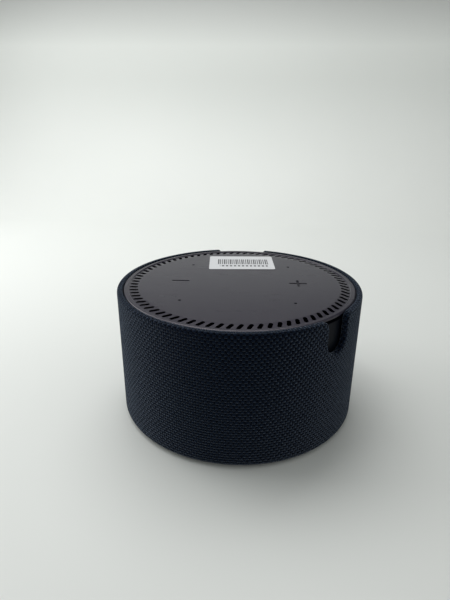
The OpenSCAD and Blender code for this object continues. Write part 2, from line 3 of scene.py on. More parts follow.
import bmesh
import bpy
import numpy as np
from mathutils import Matrix, Vector, geometry


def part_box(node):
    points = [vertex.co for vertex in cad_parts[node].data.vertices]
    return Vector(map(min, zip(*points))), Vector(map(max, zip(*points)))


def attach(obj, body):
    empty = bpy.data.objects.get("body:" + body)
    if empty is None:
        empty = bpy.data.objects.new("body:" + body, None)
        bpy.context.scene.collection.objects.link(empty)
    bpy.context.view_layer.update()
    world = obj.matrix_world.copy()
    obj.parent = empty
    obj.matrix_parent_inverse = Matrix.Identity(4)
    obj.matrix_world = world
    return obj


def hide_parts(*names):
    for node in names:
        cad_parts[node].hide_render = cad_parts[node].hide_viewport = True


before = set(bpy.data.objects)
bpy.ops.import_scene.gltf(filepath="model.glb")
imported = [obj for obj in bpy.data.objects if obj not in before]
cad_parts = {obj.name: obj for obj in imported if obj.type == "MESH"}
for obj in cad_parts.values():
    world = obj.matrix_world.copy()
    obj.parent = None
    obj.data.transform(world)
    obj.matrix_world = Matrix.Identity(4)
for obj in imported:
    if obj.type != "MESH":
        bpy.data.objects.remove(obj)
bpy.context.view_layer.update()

# ---------------------------------------------------------------------------------------------
# Cup. A moulded cup of dark plastic, open at the top, with a finger notch at the front right,
# a cable notch at the back and sound windows in its wall. The fabric is glued over it.
# ---------------------------------------------------------------------------------------------


class Wire:
    """A shader socket that can be used in arithmetic; each operator adds a Math node."""

    def __init__(self, socket):
        self.socket = socket

    def math(self, operation, *values):
        node = self.socket.node.id_data.nodes.new("ShaderNodeMath")
        node.operation = operation
        for slot, value in zip(node.inputs, values):
            if isinstance(value, Wire):
                node.id_data.links.new(value.socket, slot)
            else:
                slot.default_value = value
        return Wire(node.outputs[0])

    def __add__(self, other):
        return self.math("ADD", self, other)

    def __radd__(self, other):
        return self.math("ADD", other, self)

    def __sub__(self, other):
        return self.math("SUBTRACT", self, other)

    def __rsub__(self, other):
        return self.math("SUBTRACT", other, self)

    def __mul__(self, other):
        return self.math("MULTIPLY", self, other)

    def __rmul__(self, other):
        return self.math("MULTIPLY", other, self)

    def __truediv__(self, other):
        return self.math("DIVIDE", self, other)

    def __mod__(self, other):
        return self.math("FLOORED_MODULO", self, other)

    def __pow__(self, other):
        return self.math("POWER", self, other)

    def __gt__(self, other):
        return self.math("GREATER_THAN", self, other)

    def __lt__(self, other):
        return self.math("LESS_THAN", self, other)

    def floor(self):
        return self.math("FLOOR", self)

    def sin(self):
        return self.math("SINE", self)

    def max(self, other):
        return self.math("MAXIMUM", self, other)

    def min(self, other):
        return self.math("MINIMUM", self, other)


class Tree:
    """A node tree; a node comes from its type, its settings and what feeds its sockets."""

    def node(self, kind, settings=None, sockets=None, output=0):
        node = self.tree.nodes.new(kind)
        for key, value in (settings or {}).items():
            setattr(node, key, value)
        self.feed(node, sockets or {})
        return Wire(node.outputs[output])

    def feed(self, node, sockets):
        for key, value in sockets.items():
            for one in value if isinstance(value, list) else [value]:
                if isinstance(one, Wire):
                    self.tree.links.new(one.socket, node.inputs[key])
                else:
                    node.inputs[key].default_value = one

    def axis(self, vector, index):
        return self.node("ShaderNodeSeparateXYZ", None, {"Vector": vector}, index)


class Finish(Tree):
    """A new material: its Principled shader and the nodes that drive it."""

    def __init__(self, name):
        self.material = bpy.data.materials.new(name)
        self.material.use_nodes = True
        self.tree = self.material.node_tree
        self.tree.nodes.clear()
        self.shader = self.tree.nodes.new("ShaderNodeBsdfPrincipled")
        self.output = self.tree.nodes.new("ShaderNodeOutputMaterial")
        self.tree.links.new(self.shader.outputs[0], self.output.inputs["Surface"])

    def set(self, sockets):
        self.feed(self.shader, sockets)

    def cover(self, share, shader):
        """Lays another shader over the main one wherever share is 1."""
        main = Wire(self.shader.outputs[0])
        mixed = self.node("ShaderNodeMixShader", None, {0: share, 1: main, 2: shader})
        self.tree.links.new(mixed.socket, self.output.inputs["Surface"])

    def place(self):
        return self.node("ShaderNodeTexCoord", output=3)

    def noise(self, scale, detail, vector=None, rough=0.5):
        return self.node("ShaderNodeTexNoise", None, {
            "Vector": vector or self.place(), "Scale": scale, "Detail": detail, "Roughness": rough})

    def blend(self, share, low, high):
        return self.node("ShaderNodeMix", {"data_type": "RGBA"}, {0: share, 6: low, 7: high}, output=2)

    def bump(self, height, depth, strength):
        return self.node("ShaderNodeBump", None, {
            "Height": height, "Distance": depth, "Strength": strength})


def shade(colour, factor):
    """A colour made darker or lighter, with its alpha."""
    return (*[min(1.0, c * factor) for c in colour[:3]], 1.0)


def moulded(name, colour, roughness, grain=0.00002, pitch=5200, wear=0.12, gloss=0.5):
    """Moulded plastic: a fine spark-eroded grain, faint flow marks and handled patches."""
    finish = Finish(name)
    patches = finish.noise(90, 4)
    spots = finish.noise(pitch, 3)
    finish.set({
        "Base Color": finish.blend(patches, shade(colour, 1 - wear), shade(colour, 1 + wear)),
        "Roughness": roughness + 0.16 * (patches - 0.5) + 0.1 * (spots - 0.5),
        "Normal": finish.bump(spots, grain, 0.6),
        "Specular IOR Level": gloss,
    })
    return finish.material


def paint(material, *nodes):
    """Gives CAD nodes this material."""
    for name in nodes:
        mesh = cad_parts[name].data
        mesh.materials.clear()
        mesh.materials.append(material)


cup_plastic = moulded("cup_plastic", (0.042, 0.043, 0.047), 0.55)
paint(cup_plastic, "cup_frame")

# ---------------------------------------------------------------------------------------------
# Base cover, screws, foot ring and rest pads. The cover closes the underside over the fabric's
# hem and is held by four cross-head screws; the rubber ring sits in its groove. Four felt pads
# on the cup's floor carry the speaker unit.
# ---------------------------------------------------------------------------------------------


def mesh_object(name, points, faces, material):
    """A smooth mesh object at the origin from points in metres."""
    mesh = bpy.data.meshes.new(name)
    mesh.from_pydata([tuple(p) for p in points], [], [tuple(f) for f in faces])
    mesh.validate()
    piece = bpy.data.objects.new(name, mesh)
    bpy.context.scene.collection.objects.link(piece)
    piece.data.materials.append(material)
    for face in mesh.polygons:
        face.use_smooth = True
    return piece


def outward(piece):
    """Merges doubles and turns a closed mesh's faces outwards."""
    work = bmesh.new()
    work.from_mesh(piece.data)
    bmesh.ops.remove_doubles(work, verts=work.verts, dist=1e-7)
    bmesh.ops.recalc_face_normals(work, faces=work.faces)
    work.to_mesh(piece.data)
    work.free()


def sharpen(piece, degrees=35):
    """Keeps edges sharper than this angle crisp on a smooth mesh."""
    work = bmesh.new()
    work.from_mesh(piece.data)
    for edge in work.edges:
        if len(edge.link_faces) == 2:
            edge.smooth = edge.calc_face_angle(0) < math.radians(degrees)
    work.to_mesh(piece.data)
    work.free()


def arc(x, y, r, start, end, steps):
    """Points along an arc, angles in degrees."""
    turns = [math.radians(start + (end - start) * i / steps) for i in range(steps + 1)]
    return [(x + r * math.cos(a), y + r * math.sin(a)) for a in turns]


def turned(name, outline, material, steps):
    """A closed outline of (radius, height) points turned about the vertical axis."""
    count = len(outline)
    points, faces = [], []
    for i in range(steps):
        a = 2 * math.pi * i / steps
        points += [(r * math.cos(a), r * math.sin(a), z) for r, z in outline]
        for j in range(count):
            here, there = i * count, (i + 1) % steps * count
            k = (j + 1) % count
            faces.append((here + j, there + j, there + k, here + k))
    piece = mesh_object(name, points, faces, material)
    outward(piece)
    sharpen(piece)
    return piece


def ride(piece, body, slot, *replaced):
    """Hands a piece to its body and hides the CAD nodes that it replaces; the slot argument is not used."""
    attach(piece, body)
    if replaced:
        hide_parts(*replaced)


def rubber(name, colour, roughness):
    """Moulded rubber: matte, with dust in its pores and a soft mottle."""
    finish = Finish(name)
    dust = finish.noise(700, 5, rough=0.7)
    pores = finish.noise(4200, 2)
    finish.set({
        "Base Color": finish.blend(dust ** 2.0, shade(colour, 0.9), shade(colour, 1.6)),
        "Roughness": roughness + 0.2 * (dust - 0.5),
        "Normal": finish.bump(pores, 0.00004, 0.5),
        "Specular IOR Level": 0.35,
    })
    return finish.material


foot_rubber = rubber("foot_rubber", (0.02, 0.02, 0.022), 0.75)
foot_low, foot_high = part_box("foot_ring")
foot_out = foot_high[0]
foot_w = 0.009
foot_in = foot_out - foot_w
foot_round = 0.0004
groove_r = 0.0003
groove_count = 4
groove_step = (foot_out - foot_in) / (groove_count + 1)
foot_outline = arc(foot_out - foot_round, foot_low[2] + foot_round, foot_round, 0, -90, 5)
for groove in range(groove_count):
    middle = foot_out - (groove + 1) * groove_step
    foot_outline += arc(middle, foot_low[2], groove_r, 0, 180, 6)
foot_outline += arc(foot_in + foot_round, foot_low[2] + foot_round, foot_round, -90, -180, 5)
foot_outline += [(foot_in, foot_high[2]), (foot_out, foot_high[2])]
foot = turned("foot_ring_rubber", foot_outline, foot_rubber, 160)
ride(foot, "cup", "rubber", "foot_ring")

cover_plastic = moulded("cover_plastic", (0.026, 0.027, 0.029), 0.6, grain=0.00005, pitch=2600)
paint(cover_plastic, "base_cover")


def felt(name, colour):
    """Pressed felt or soft foam: fully matte, with a fibrous surface."""
    finish = Finish(name)
    fibre = finish.noise(2600, 6, rough=0.75)
    finish.set({
        "Base Color": finish.blend(fibre, shade(colour, 0.6), shade(colour, 1.7)),
        "Roughness": 0.95,
        "Sheen Weight": 0.4,
        "Normal": finish.bump(fibre, 0.00015, 0.8),
    })
    return finish.material


paint(felt("pad_felt", (0.03, 0.03, 0.032)), "rest_pads", "touch_pads", "box_gasket")


def steel(name, colour, roughness):
    """Plated steel: a bright satin coat with fine scratches and duller patches."""
    finish = Finish(name)
    cloud = finish.noise(400, 4)
    drawn = finish.node("ShaderNodeMapping", None, {"Vector": finish.place(), "Scale": (1, 1, 9)})
    scratch = finish.noise(3000, 2, drawn)
    finish.set({
        "Base Color": finish.blend(cloud, shade(colour, 0.85), shade(colour, 1.1)),
        "Metallic": 1.0,
        "Roughness": roughness + 0.2 * (cloud - 0.5),
        "Normal": finish.bump(scratch, 0.00001, 0.5),
    })
    return finish.material


screw_steel = steel("screw_steel", (0.55, 0.55, 0.56), 0.32)


class Build(Tree):
    """A Geometry Nodes tree with named inputs, which one modifier turns into a plain mesh."""

    def __init__(self, name, inputs):
        self.tree = bpy.data.node_groups.new(name, "GeometryNodeTree")
        self.tree.interface.new_socket("Geometry", in_out="OUTPUT", socket_type="NodeSocketGeometry")
        self.values = {}
        for key, value in inputs.items():
            socket = self.tree.interface.new_socket(key, in_out="INPUT", socket_type="NodeSocketFloat")
            self.values[socket.identifier] = value
        entry = self.tree.nodes.new("NodeGroupInput")
        self.inputs = [Wire(entry.outputs[key]) for key in inputs]
        self.output = self.tree.nodes.new("NodeGroupOutput")

    def mesh(self, name, shape, material):
        real = self.node("GeometryNodeRealizeInstances", None, {"Geometry": shape})
        painted = self.node("GeometryNodeSetMaterial", None, {"Geometry": real, "Material": material})
        self.tree.links.new(painted.socket, self.output.inputs[0])
        carrier = bpy.data.objects.new(name + "_carrier", bpy.data.meshes.new(name + "_carrier"))
        bpy.context.scene.collection.objects.link(carrier)
        modifier = carrier.modifiers.new("build", "NODES")
        modifier.node_group = self.tree
        for key, value in self.values.items():
            modifier[key] = value
        view = bpy.context.evaluated_depsgraph_get()
        result = bpy.data.meshes.new_from_object(carrier.evaluated_get(view))
        bpy.data.objects.remove(carrier)
        piece = bpy.data.objects.new(name, result)
        bpy.context.scene.collection.objects.link(piece)
        sharpen(piece)
        return piece


def screws(name, places, head_r, shank_r, head_z, seat_z, tip_z, material):
    """Cross-head screws pointing up, at one height, as one mesh."""
    build = Build(name, {
        "Head radius": head_r, "Shank radius": shank_r, "Head height": seat_z - head_z,
        "Shank length": tip_z - seat_z, "Thread pitch": 0.0006})
    head_radius, shank_radius, head_height, shank_length, thread_pitch = build.inputs
    head = build.node("GeometryNodeMeshCone", {"fill_type": "NGON"}, {
        "Vertices": 32, "Side Segments": 1, "Radius Top": head_radius,
        "Radius Bottom": head_radius * 0.86, "Depth": head_height})
    cross = []
    for long_x, long_y in ((1.1, 0.28), (0.28, 1.1)):
        extent = build.node("ShaderNodeCombineXYZ", None, {
            "X": head_radius * long_x, "Y": head_radius * long_y, "Z": head_height * 1.1})
        cross.append(build.node("GeometryNodeMeshCube", None, {"Size": extent}))
    recess = build.node("GeometryNodeMeshBoolean", {"operation": "UNION", "solver": "EXACT"}, {
        "Mesh 2": cross})
    drop = build.node("ShaderNodeCombineXYZ", None, {"Z": head_height * -0.05})
    low_recess = build.node("GeometryNodeTransform", None, {"Geometry": recess, "Translation": drop})
    cut_head = build.node("GeometryNodeMeshBoolean", {"operation": "DIFFERENCE", "solver": "EXACT"}, {
        "Mesh 1": head, "Mesh 2": low_recess})
    turns = (shank_length / thread_pitch).floor()
    shank = build.node("GeometryNodeMeshCylinder", {"fill_type": "NGON"}, {
        "Vertices": 20, "Side Segments": turns * 2 + 1, "Radius": shank_radius, "Depth": shank_length})
    position = build.node("GeometryNodeInputPosition")
    wave = 0.94 + 0.06 * (build.axis(position, 2) * (2 * math.pi) / thread_pitch).sin()
    scale = build.node("ShaderNodeCombineXYZ", None, {"X": wave, "Y": wave, "Z": 1.0})
    waved = build.node("ShaderNodeVectorMath", {"operation": "MULTIPLY"}, {0: position, 1: scale})
    threaded = build.node("GeometryNodeSetPosition", None, {"Geometry": shank, "Position": waved})
    rise = build.node("ShaderNodeCombineXYZ", None, {"Z": head_height + shank_length * 0.5})
    raised = build.node("GeometryNodeTransform", None, {"Geometry": threaded, "Translation": rise})
    screw = build.node("GeometryNodeJoinGeometry", None, {"Geometry": [cut_head, raised]})
    point = build.node("GeometryNodeMeshLine", {"mode": "OFFSET"}, {"Count": 1})
    spots = [
        build.node("GeometryNodeTransform", None, {"Geometry": point, "Translation": (x, y, head_z)})
        for x, y in places]
    all_spots = build.node("GeometryNodeJoinGeometry", None, {"Geometry": spots})
    copies = build.node("GeometryNodeInstanceOnPoints", None, {"Points": all_spots, "Instance": screw})
    return build.mesh(name, copies, material)


def ring_places(radius, angles):
    """Points at these angles on a circle, in degrees."""
    return [(radius * math.cos(math.radians(a)), radius * math.sin(math.radians(a))) for a in angles]


diagonals = (45, 135, 225, 315)
base_low, base_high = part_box("base_screws")
base_head_r = 0.0021
base_shank_r = 0.0011
base_head_h = 0.0007
base_ring = (base_high[0] - base_head_r) * math.sqrt(2)
base_screws = screws("base_screws_cross_head", ring_places(base_ring, diagonals), base_head_r, base_shank_r,
    base_low[2], base_low[2] + base_head_h, base_high[2], screw_steel)
ride(base_screws, "cup", "screw_steel", "base_screws")

# ---------------------------------------------------------------------------------------------
# Fabric skin. One strip of thick plain-woven polyester, stretched round the cup, joined down the
# back under the cable notch, rolled over the rim and both notches and tucked under the hem.
# ---------------------------------------------------------------------------------------------
skin_low, skin_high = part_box("fabric_skin")
body_r = skin_high[0]
rim_z = skin_high[2]
hem_z = skin_low[2]
cup_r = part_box("cup_frame")[1][0]
cup_wall = 0.0015
cup_in_r = cup_r - cup_wall
around = 2 * math.pi * body_r
around_steps = 241
seam_angle = 90
rim_round = 0.0011
hem_round = 0.0022
cloth_t = 0.0008
glue_gap = 0.00004
finger = {"angle": -43.5, "half": 0.00525, "depth": 0.014, "corner": 0.00525, "flare": 0.003}
cable = {"angle": 90, "half": 0.0111, "depth": 0.0135, "corner": 0.0014, "flare": 0.0014}


def along(start, end):
    """Points a millimetre apart between two points of the outline, without its ends."""
    count = max(2, round(math.dist(start, end) / 0.001))
    return [tuple(np.add(start, np.subtract(end, start) * i / count)) for i in range(1, count)]


def notch_side(notch, middle, left):
    """One half of a notch's outline, in arc length and height, from its low middle to the rim."""
    half, corner, flare = notch["half"], notch["corner"], notch["flare"]
    low = rim_z - notch["depth"]
    points = [(0, low)]
    if half > corner + 1e-6:
        points += along((0, low), (half - corner, low))
    points += arc(half - corner, low + corner, corner, -90, 0, 14)
    points += along((half, low + corner), (half, rim_z - flare))
    points += arc(half + flare, rim_z - flare, flare, 180, 90, 8)
    clean = [points[0]]
    for point in points[1:]:
        if math.dist(point, clean[-1]) > 1e-5:
            clean.append(point)
    if left:
        clean = [(-x, z) for x, z in clean[::-1]]
    return [(middle + x, z) for x, z in clean]


finger_at = math.radians((finger["angle"] - seam_angle) % 360) * body_r
edge = notch_side(cable, 0, False)
finger_left = notch_side(finger, finger_at, True)
edge += along(edge[-1], finger_left[0]) + finger_left
edge += notch_side(finger, finger_at, False)[1:]
cable_left = notch_side(cable, around, True)
edge += along(edge[-1], cable_left[0]) + cable_left
edge = np.array(edge)


def inset(outline, distance):
    """The outline moved into the cloth by a distance."""
    before = np.roll(outline, 1, 0)
    after = np.roll(outline, -1, 0)
    before[0] = outline[-2] - (around, 0)
    after[-1] = outline[1] + (around, 0)
    first = outline - before
    second = after - outline
    first /= np.linalg.norm(first, axis=1)[:, None]
    second /= np.linalg.norm(second, axis=1)[:, None]
    tangent = first + second
    tangent /= np.linalg.norm(tangent, axis=1)[:, None]
    inward = np.stack([tangent[:, 1], -tangent[:, 0]], 1)
    stretch = 1 / np.clip((tangent * second).sum(1), 0.7, 1)
    return outline + inward * (distance * stretch)[:, None]


def inside(points, polygon):
    """Which points lie inside a polygon."""
    hit = np.zeros(len(points), bool)
    for (x1, y1), (x2, y2) in zip(polygon, np.roll(polygon, -1, 0)):
        crosses = (y1 > points[:, 1]) != (y2 > points[:, 1])
        if y1 != y2:
            hit ^= crosses & (points[:, 0] < (x2 - x1) * (points[:, 1] - y1) / (y2 - y1) + x1)
    return hit


def fill(outer, holes=(), creases=(), grid=0.0, margin=0.0):
    """Triangles inside an outline and outside its holes, over creases and a grid of inner points."""
    points = np.concatenate([np.asarray(loop, float) for loop in (outer, *holes, *creases)])
    edges, start = [], 0
    for loop in (outer, *holes, *creases):
        edges += [(start + i, start + (i + 1) % len(loop)) for i in range(len(loop))]
        start += len(loop)
    if grid:
        low, high = points.min(0), points.max(0)
        xs = np.linspace(low[0], high[0], round((high[0] - low[0]) / grid) + 1)[1:-1]
        ys = np.linspace(low[1], high[1], round((high[1] - low[1]) / grid) + 1)[1:-1]
        inner = np.stack(np.meshgrid(xs, ys), -1).reshape(-1, 2)
        inner = inner[inside(inner, np.asarray(outer))]
        gaps = np.array([np.linalg.norm(points - p, axis=1).min() for p in inner])
        inner = inner[gaps > margin]
        for hole in holes:
            inner = inner[~inside(inner, np.asarray(hole))]
        points = np.concatenate([points, inner])
    unit = 1000.0
    made = geometry.delaunay_2d_cdt([Vector(p * unit) for p in points], edges, [], 0, 1e-6)
    points = np.array([tuple(v) for v in made[0]]) / unit
    faces = np.array(made[2])
    middle = points[faces].mean(1)
    keep = inside(middle, np.asarray(outer))
    for hole in holes:
        keep &= ~inside(middle, np.asarray(hole))
    return points, faces[keep]


skin_points, skin_faces, skin_uvs = [], [], []


def on_cup(s, z, r):
    """The point at this arc length along the cloth, height and radius."""
    angle = math.radians(seam_angle) + s / body_r
    return (r * math.cos(angle), r * math.sin(angle), z)


def add_skin(points, faces, uvs):
    start = len(skin_points)
    skin_points.extend(points)
    skin_faces.extend([tuple(start + i for i in face) for face in faces])
    skin_uvs.extend([[uvs[i] for i in face] for face in faces])


def strip(rows, uv_rows):
    """Quads between rows of points."""
    count = len(rows[0])
    faces = [
        (a * count + i, a * count + i + 1, (a + 1) * count + i + 1, (a + 1) * count + i)
        for a in range(len(rows) - 1) for i in range(count - 1)]
    add_skin([p for row in rows for p in row], faces, [p for row in uv_rows for p in row])


# Outer wall and, behind it, the glued back of the cloth
wall_low_z = hem_z + hem_round
back_r = cup_r + glue_gap
cup_tuck = 0.0008
seam_gap = 0.00003
back_inset = cup_tuck + seam_gap
side_steps = 16
for distance, r in ((rim_round, body_r), (back_inset, back_r)):
    top = inset(edge, distance)
    right = [(around, z) for z in np.linspace(top[-1][1], wall_low_z, side_steps)[1:]]
    bottom = [(s, wall_low_z) for s in np.linspace(around, 0, around_steps)[1:]]
    left = [(0, z) for z in np.linspace(wall_low_z, top[0][1], side_steps)[1:-1]]
    flat_points, flat_faces = fill([*map(tuple, top), *right, *bottom, *left], grid=0.0019, margin=0.0007)
    add_skin([on_cup(s, z, r) for s, z in flat_points], flat_faces, flat_points)

# Roll over the rim and the notches: distance into the cloth and radius at each step
inner_round = 0.0003
turn_over = 0.0012
roll = [(rim_round - x, body_r - rim_round + y) for x, y in arc(0, 0, rim_round, 90, 0, 7)]
roll += [(0, cup_in_r + turn_over)]
roll += [(inner_round - x, cup_in_r + inner_round - y) for x, y in arc(0, 0, inner_round, 0, 90, 4)]
roll += [(cup_tuck, cup_in_r), (back_inset, back_r)]
rows, uv_rows, path = [], [], 0.0
for step, (distance, r) in enumerate(roll):
    if step:
        path += math.dist(roll[step], roll[step - 1])
    rows.append([on_cup(s, z, r) for s, z in inset(edge, distance)])
    uv_rows.append([tuple(p) for p in inset(edge, rim_round - path)])
strip(rows, uv_rows)

# Hem: round the bottom edge, under the wall and back up to the glued side
hem_tuck = 0.0007
lip_r = cup_in_r - hem_tuck
under = arc(body_r - hem_round, wall_low_z, hem_round, 0, -90, 8)
under += [(lip_r, hem_z), (lip_r, hem_z + cloth_t)]
under += arc(body_r - hem_round, wall_low_z, hem_round - cloth_t + glue_gap, -90, 0, 8)
bottom_s = np.linspace(0, around, around_steps)
rows, uv_rows, path = [], [], 0.0
for step, (r, z) in enumerate(under):
    if step:
        path += math.dist(under[step], under[step - 1])
    rows.append([on_cup(s, z, r) for s in bottom_s])
    uv_rows.append([(s, wall_low_z - path) for s in bottom_s])
strip(rows, uv_rows)

yarns_around = 320
pick_pitch = 0.0011


def woven_cloth():
    """Plain weave of thick two-ply yarns, near black with a navy cast and a few pale flecks; painted shade
    turns the hollows between the yarns near black.
    """
    finish = Finish("woven_cloth")
    uv = finish.node("ShaderNodeUVMap", {"uv_map": "cloth"})
    wobble = finish.node("ShaderNodeTexNoise", None, {
        "Vector": uv, "Scale": 150.0, "Detail": 3.0}, output=1)
    shifted = finish.node("ShaderNodeVectorMath", {"operation": "MULTIPLY_ADD"}, {
        0: wobble, 1: (0.0012, 0.0012, 0), 2: uv})
    x = finish.axis(shifted, 0) * yarns_around
    y = finish.axis(shifted, 1) * (around / pick_pitch)
    column, row = x.floor(), y.floor()
    across, up = x - column, y - row
    sign_column = 1 - 2 * (column % 2.0)
    sign_row = 1 - 2 * (row % 2.0)
    warp_body = (1 - (2 * across - 1) ** 2.0).max(0.0) ** 0.5
    weft_body = (1 - (2 * up - 1) ** 2.0).max(0.0) ** 0.5
    warp = warp_body * 0.7 + sign_column * (y * math.pi).sin() * 0.6 - 0.42
    weft = weft_body * 0.8 - sign_row * (x * math.pi).sin() * 0.6
    height = warp.max(weft)
    warp_on_top = warp > weft
    twist_warp = ((y * 3.2 + across * 2.2) * (2 * math.pi)).sin()
    twist_weft = ((x * 3.2 - up * 2.2) * (2 * math.pi)).sin()
    twist = twist_weft + warp_on_top * (twist_warp - twist_weft)
    fibre = finish.noise(5200, 4, uv, 0.7)
    batch = finish.noise(38, 3, uv)
    fleck = finish.noise(640, 1, uv)
    # Painted shade: below the yarn crowns the colour falls to near black, standing in for the shade in the
    # weave's hollows.
    crown_painted_shade_mask = (height * 1.8 - 0.35).max(0.0).min(1.0)
    # Where the warp lies on top the cloth is far darker than where the weft does.
    warp_weft_tone = finish.blend(warp_on_top, (0.0065, 0.012, 0.0255, 1), (0.0002, 0.0007, 0.0034, 1))
    worn = finish.blend((fleck - 0.64).max(0.0) * 2.4, warp_weft_tone, (0.05, 0.06, 0.08, 1))
    toned = finish.blend(batch * 0.5, worn, (0.004, 0.0065, 0.013, 1))
    finish.set({
        "Base Color": finish.blend(crown_painted_shade_mask, (0.0001, 0.0004, 0.002, 1), toned),
        "Roughness": 0.78 + 0.14 * fibre,
        "Sheen Weight": 0.42,
        "Sheen Roughness": 0.25,
        "Sheen Tint": (0.5, 0.6, 0.75, 1),
        "Specular IOR Level": 0.03,
        "Normal": finish.bump(height + 0.09 * twist + 0.12 * fibre, 0.00036, 1.0),
    })
    return finish.material


skin = mesh_object("fabric_skin_woven", skin_points, skin_faces, woven_cloth())
corner_uvs = [uv for face in skin_uvs for uv in face]
cloth_map = skin.data.uv_layers.new(name="cloth")
cloth_map.data.foreach_set("uv", np.array(corner_uvs, np.float32).ravel() / around)
outward(skin)
sharpen(skin, 60)
ride(skin, "cup", "fabric", "fabric_skin")

# ---------------------------------------------------------------------------------------------
# Lower shell and base of the speaker unit. Black moulded plastic with a ring of upright sound
# slots; the base closes it from below and four long cross-head screws hold base and shells.
# ---------------------------------------------------------------------------------------------
shell_plastic = moulded(
    "shell_plastic", (0.002, 0.0034, 0.0068), 0.5, grain=0.000012, pitch=6500, gloss=0.1)
paint(shell_plastic, "lower_shell", "unit_base")

case_low, case_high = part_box("case_screws")
case_head_r = 0.0018
case_shank_r = 0.0009
case_head_h = 0.001
case_ring = (case_high[0] - case_head_r) * math.sqrt(2)
case_screws = screws("case_screws_cross_head", ring_places(case_ring, diagonals), case_head_r, case_shank_r,
    case_low[2], case_low[2] + case_head_h, case_high[2], screw_steel)
ride(case_screws, "speaker_unit", "screw_steel", "case_screws")

# ---------------------------------------------------------------------------------------------
# Sound parts. A low dome turns the driver's sound outwards; the driver hangs face down under the
# baffle, with a closed box over its back, sealed by a foam gasket and six screws.
# ---------------------------------------------------------------------------------------------
box_plastic = moulded("box_plastic", (0.03, 0.031, 0.034), 0.5, grain=0.00004, pitch=3000)
paint(box_plastic, "sound_deflector", "baffle_plate", "back_box")
paint(rubber("seal_rubber", (0.018, 0.018, 0.02), 0.6), "driver_surround", "lead_grommet", "mic_gaskets")
paint(screw_steel, "box_screws", "driver_screws", "main_board_screws", "touch_board_screws")


def pressed_paper(name, colour):
    """Pressed paper pulp: fibres lying every way under a dull black dye."""
    finish = Finish(name)
    pulp = finish.noise(1500, 6, rough=0.8)
    finish.set({
        "Base Color": finish.blend(pulp, shade(colour, 0.7), shade(colour, 1.5)),
        "Roughness": 0.8 + 0.15 * (pulp - 0.5),
        "Normal": finish.bump(pulp, 0.0001, 0.7),
    })
    return finish.material


def wound_copper():
    """Enamelled copper wire wound in level turns."""
    finish = Finish("wound_copper")
    wire_pitch = 0.00018
    turns = (finish.axis(finish.place(), 2) * (2 * math.pi / wire_pitch)).sin()
    tone = finish.noise(900, 3)
    finish.set({
        "Base Color": finish.blend(tone, (0.45, 0.16, 0.06, 1), (0.7, 0.3, 0.12, 1)),
        "Metallic": 0.9,
        "Roughness": 0.3 + 0.15 * tone,
        "Normal": finish.bump(turns, 0.00004, 0.8),
        "Coat Weight": 0.5,
    })
    return finish.material


def squares(finish, pitch):
    """A fine square weave across X and Y."""
    place = finish.place()
    turn = math.pi / pitch
    return (finish.axis(place, 0) * turn).sin() * (finish.axis(place, 1) * turn).sin()


def dipped_cloth():
    """Cotton dipped in amber resin, woven in fine squares."""
    finish = Finish("dipped_cloth")
    weave = squares(finish, 0.0003)
    finish.set({
        "Base Color": finish.blend(0.5 + 0.5 * weave, (0.22, 0.13, 0.04, 1), (0.5, 0.34, 0.13, 1)),
        "Roughness": 0.6 + 0.1 * weave,
        "Normal": finish.bump(weave, 0.00006, 0.7),
    })
    return finish.material


paint(pressed_paper("cone_paper", (0.028, 0.029, 0.032)), "driver_cone", "dust_cap")
paint(wound_copper(), "voice_coil")
paint(dipped_cloth(), "driver_spider")
paint(moulded("basket_paint", (0.06, 0.062, 0.068), 0.42, grain=0.00003, pitch=2400), "driver_basket")
paint(steel("plated_steel", (0.6, 0.6, 0.61), 0.28),
    "driver_washer", "driver_yoke", "processor_shield", "power_socket")
paint(moulded("magnet_ferrite", (0.028, 0.028, 0.03), 0.5, grain=0.00008, pitch=1800), "driver_magnet")
paint(steel("gold_plate", (0.72, 0.5, 0.2), 0.3), "driver_terminal", "microphones", "radio_antenna")
paint(rubber("lead_sleeve", (0.26, 0.02, 0.018), 0.5), "driver_leads")

# ---------------------------------------------------------------------------------------------
# Boards. Two round green circuit boards with etched traces; the main one carries the processor
# under its shield, the amplifier, coils, capacitors, antenna and sockets, the other the touch pads.
# ---------------------------------------------------------------------------------------------


def solder_mask():
    """Green solder mask over etched copper traces and rows of bare pads."""
    finish = Finish("solder_mask")
    place = finish.place()
    cells = finish.node("ShaderNodeTexVoronoi", {"distance": "MANHATTAN", "feature": "F1"}, {
        "Vector": place, "Scale": 420.0})
    lines = finish.node("ShaderNodeTexBrick", {"offset": 0.5}, {
        "Vector": place, "Scale": 260.0, "Mortar Size": 0.045, "Mortar Smooth": 0.2,
        "Color1": (0, 0, 0, 1), "Color2": (0.35, 0.35, 0.35, 1), "Mortar": (1, 1, 1, 1)})
    trace = finish.node("ShaderNodeSeparateColor", None, {"Color": lines})
    pad = cells < 0.12
    green = finish.blend(trace, (0.006, 0.05, 0.03, 1), (0.02, 0.13, 0.07, 1))
    finish.set({
        "Base Color": finish.blend(pad, green, (0.55, 0.5, 0.42, 1)),
        "Metallic": pad * 0.9,
        "Roughness": 0.35 + 0.1 * finish.noise(800, 2),
        "Normal": finish.bump(trace + pad, 0.00003, 0.6),
    })
    return finish.material


paint(solder_mask(), "main_board", "touch_board")
chip = moulded("chip_plastic", (0.02, 0.02, 0.023), 0.5, grain=0.00003, pitch=3600)
paint(chip, "amplifier_chip", "mute_switch", "socket_tongue")
paint(moulded("coil_ferrite", (0.08, 0.075, 0.07), 0.6, grain=0.00006, pitch=2200), "power_coils")
paint(moulded("capacitor_sleeve", (0.02, 0.035, 0.12), 0.25), "smoothing_capacitors")
paint(moulded("connector_plastic", (0.62, 0.57, 0.46), 0.5), "board_connectors")
paint(moulded("led_lens", (0.8, 0.79, 0.72), 0.2, wear=0.04), "status_leds")
paint(moulded("ribbon_film", (0.42, 0.43, 0.45), 0.35), "ribbon_cable")

